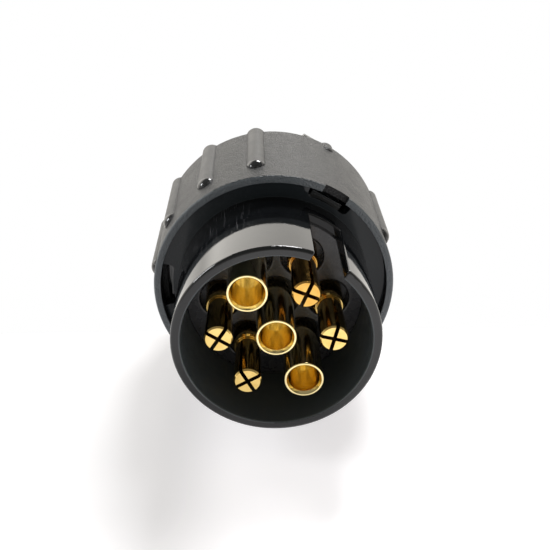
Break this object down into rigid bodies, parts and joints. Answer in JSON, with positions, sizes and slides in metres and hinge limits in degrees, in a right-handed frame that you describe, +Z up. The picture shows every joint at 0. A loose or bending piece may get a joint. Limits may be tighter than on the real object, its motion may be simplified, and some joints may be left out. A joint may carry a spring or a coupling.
{
  "type": "trailer wiring connector",
  "caption": "Trailer wiring adapter: a round plug nose with split pins and sleeve contacts in front, a ribbed grip collar, and a larger pole-count socket under a sprung hinged lid behind",
  "frame": {"origin": "on the connector's axis, in the plane of the nose's front rim", "axes": "+Y runs along the connector's axis from the nose's rim to the lid, +Z is up as the adapter lies on its grip ribs, +X completes a right-handed frame; the key slot sits 30.5 degrees from +Z towards +X"},
  "size_m": [0.0526, 0.0636, 0.0524],
  "materials": {
    "nose_plastic": "moulded gloss black",
    "carrier_plastic": "moulded satin dark grey",
    "grip_plastic": "fine grained black",
    "insert_plastic": "moulded satin dark grey",
    "pin_brass": "turned and tumbled",
    "sleeve_brass": "turned and tumbled",
    "rear_brass": "turned",
    "seal_rubber": "moulded",
    "spring_steel": "zinc plated",
    "wire_yellow": "smooth insulation",
    "wire_blue": "smooth insulation",
    "wire_white": "smooth insulation",
    "wire_green": "smooth insulation",
    "wire_brown": "smooth insulation",
    "wire_red": "smooth insulation",
    "wire_black": "smooth insulation"
  },
  "bodies": {
    "adapter": {"nose_shell": "nose_plastic", "contact_carrier": "carrier_plastic", "terminal_plate": "carrier_plastic", "carrier_retainer": "carrier_plastic", "split_pin_1": "pin_brass", "split_pin_2": "pin_brass", "split_pin_3": "pin_brass", "split_pin_4": "pin_brass", "sleeve_contact_1": "sleeve_brass", "sleeve_contact_2": "sleeve_brass", "sleeve_contact_3": "sleeve_brass", "grip_collar": "grip_plastic", "flange_gasket": "seal_rubber", "socket_barrel": "grip_plastic", "socket_insert": "insert_plastic", "insert_back_plate": "insert_plastic", "insert_screws": "spring_steel", "socket_contact_1": "rear_brass", "socket_contact_2": "rear_brass", "socket_contact_3": "rear_brass", "socket_contact_4": "rear_brass", "socket_contact_5": "rear_brass", "socket_contact_6": "rear_brass", "socket_contact_7": "rear_brass", "socket_contact_8": "rear_brass", "earth_link": "rear_brass", "wire_1": "wire_yellow", "wire_2": "wire_blue", "wire_3": "wire_white", "wire_4": "wire_green", "wire_5": "wire_brown", "wire_6": "wire_red", "wire_7": "wire_black", "lid_spring": "spring_steel", "hinge_pin": "spring_steel"},
    "lid": {"lid": "grip_plastic", "lid_gasket": "seal_rubber"}
  },
  "joints": [
    {"name": "lid_hinge", "type": "hinge", "parent": "adapter", "child": "lid", "pos_m": [-0.01249, 0.0523, -0.0212], "axis": [-0.8616, 0, 0.5075], "range_deg": [0, 110], "stiffness_Nm_per_rad": 0.004, "deforming": ["lid_spring"]}
  ]
}
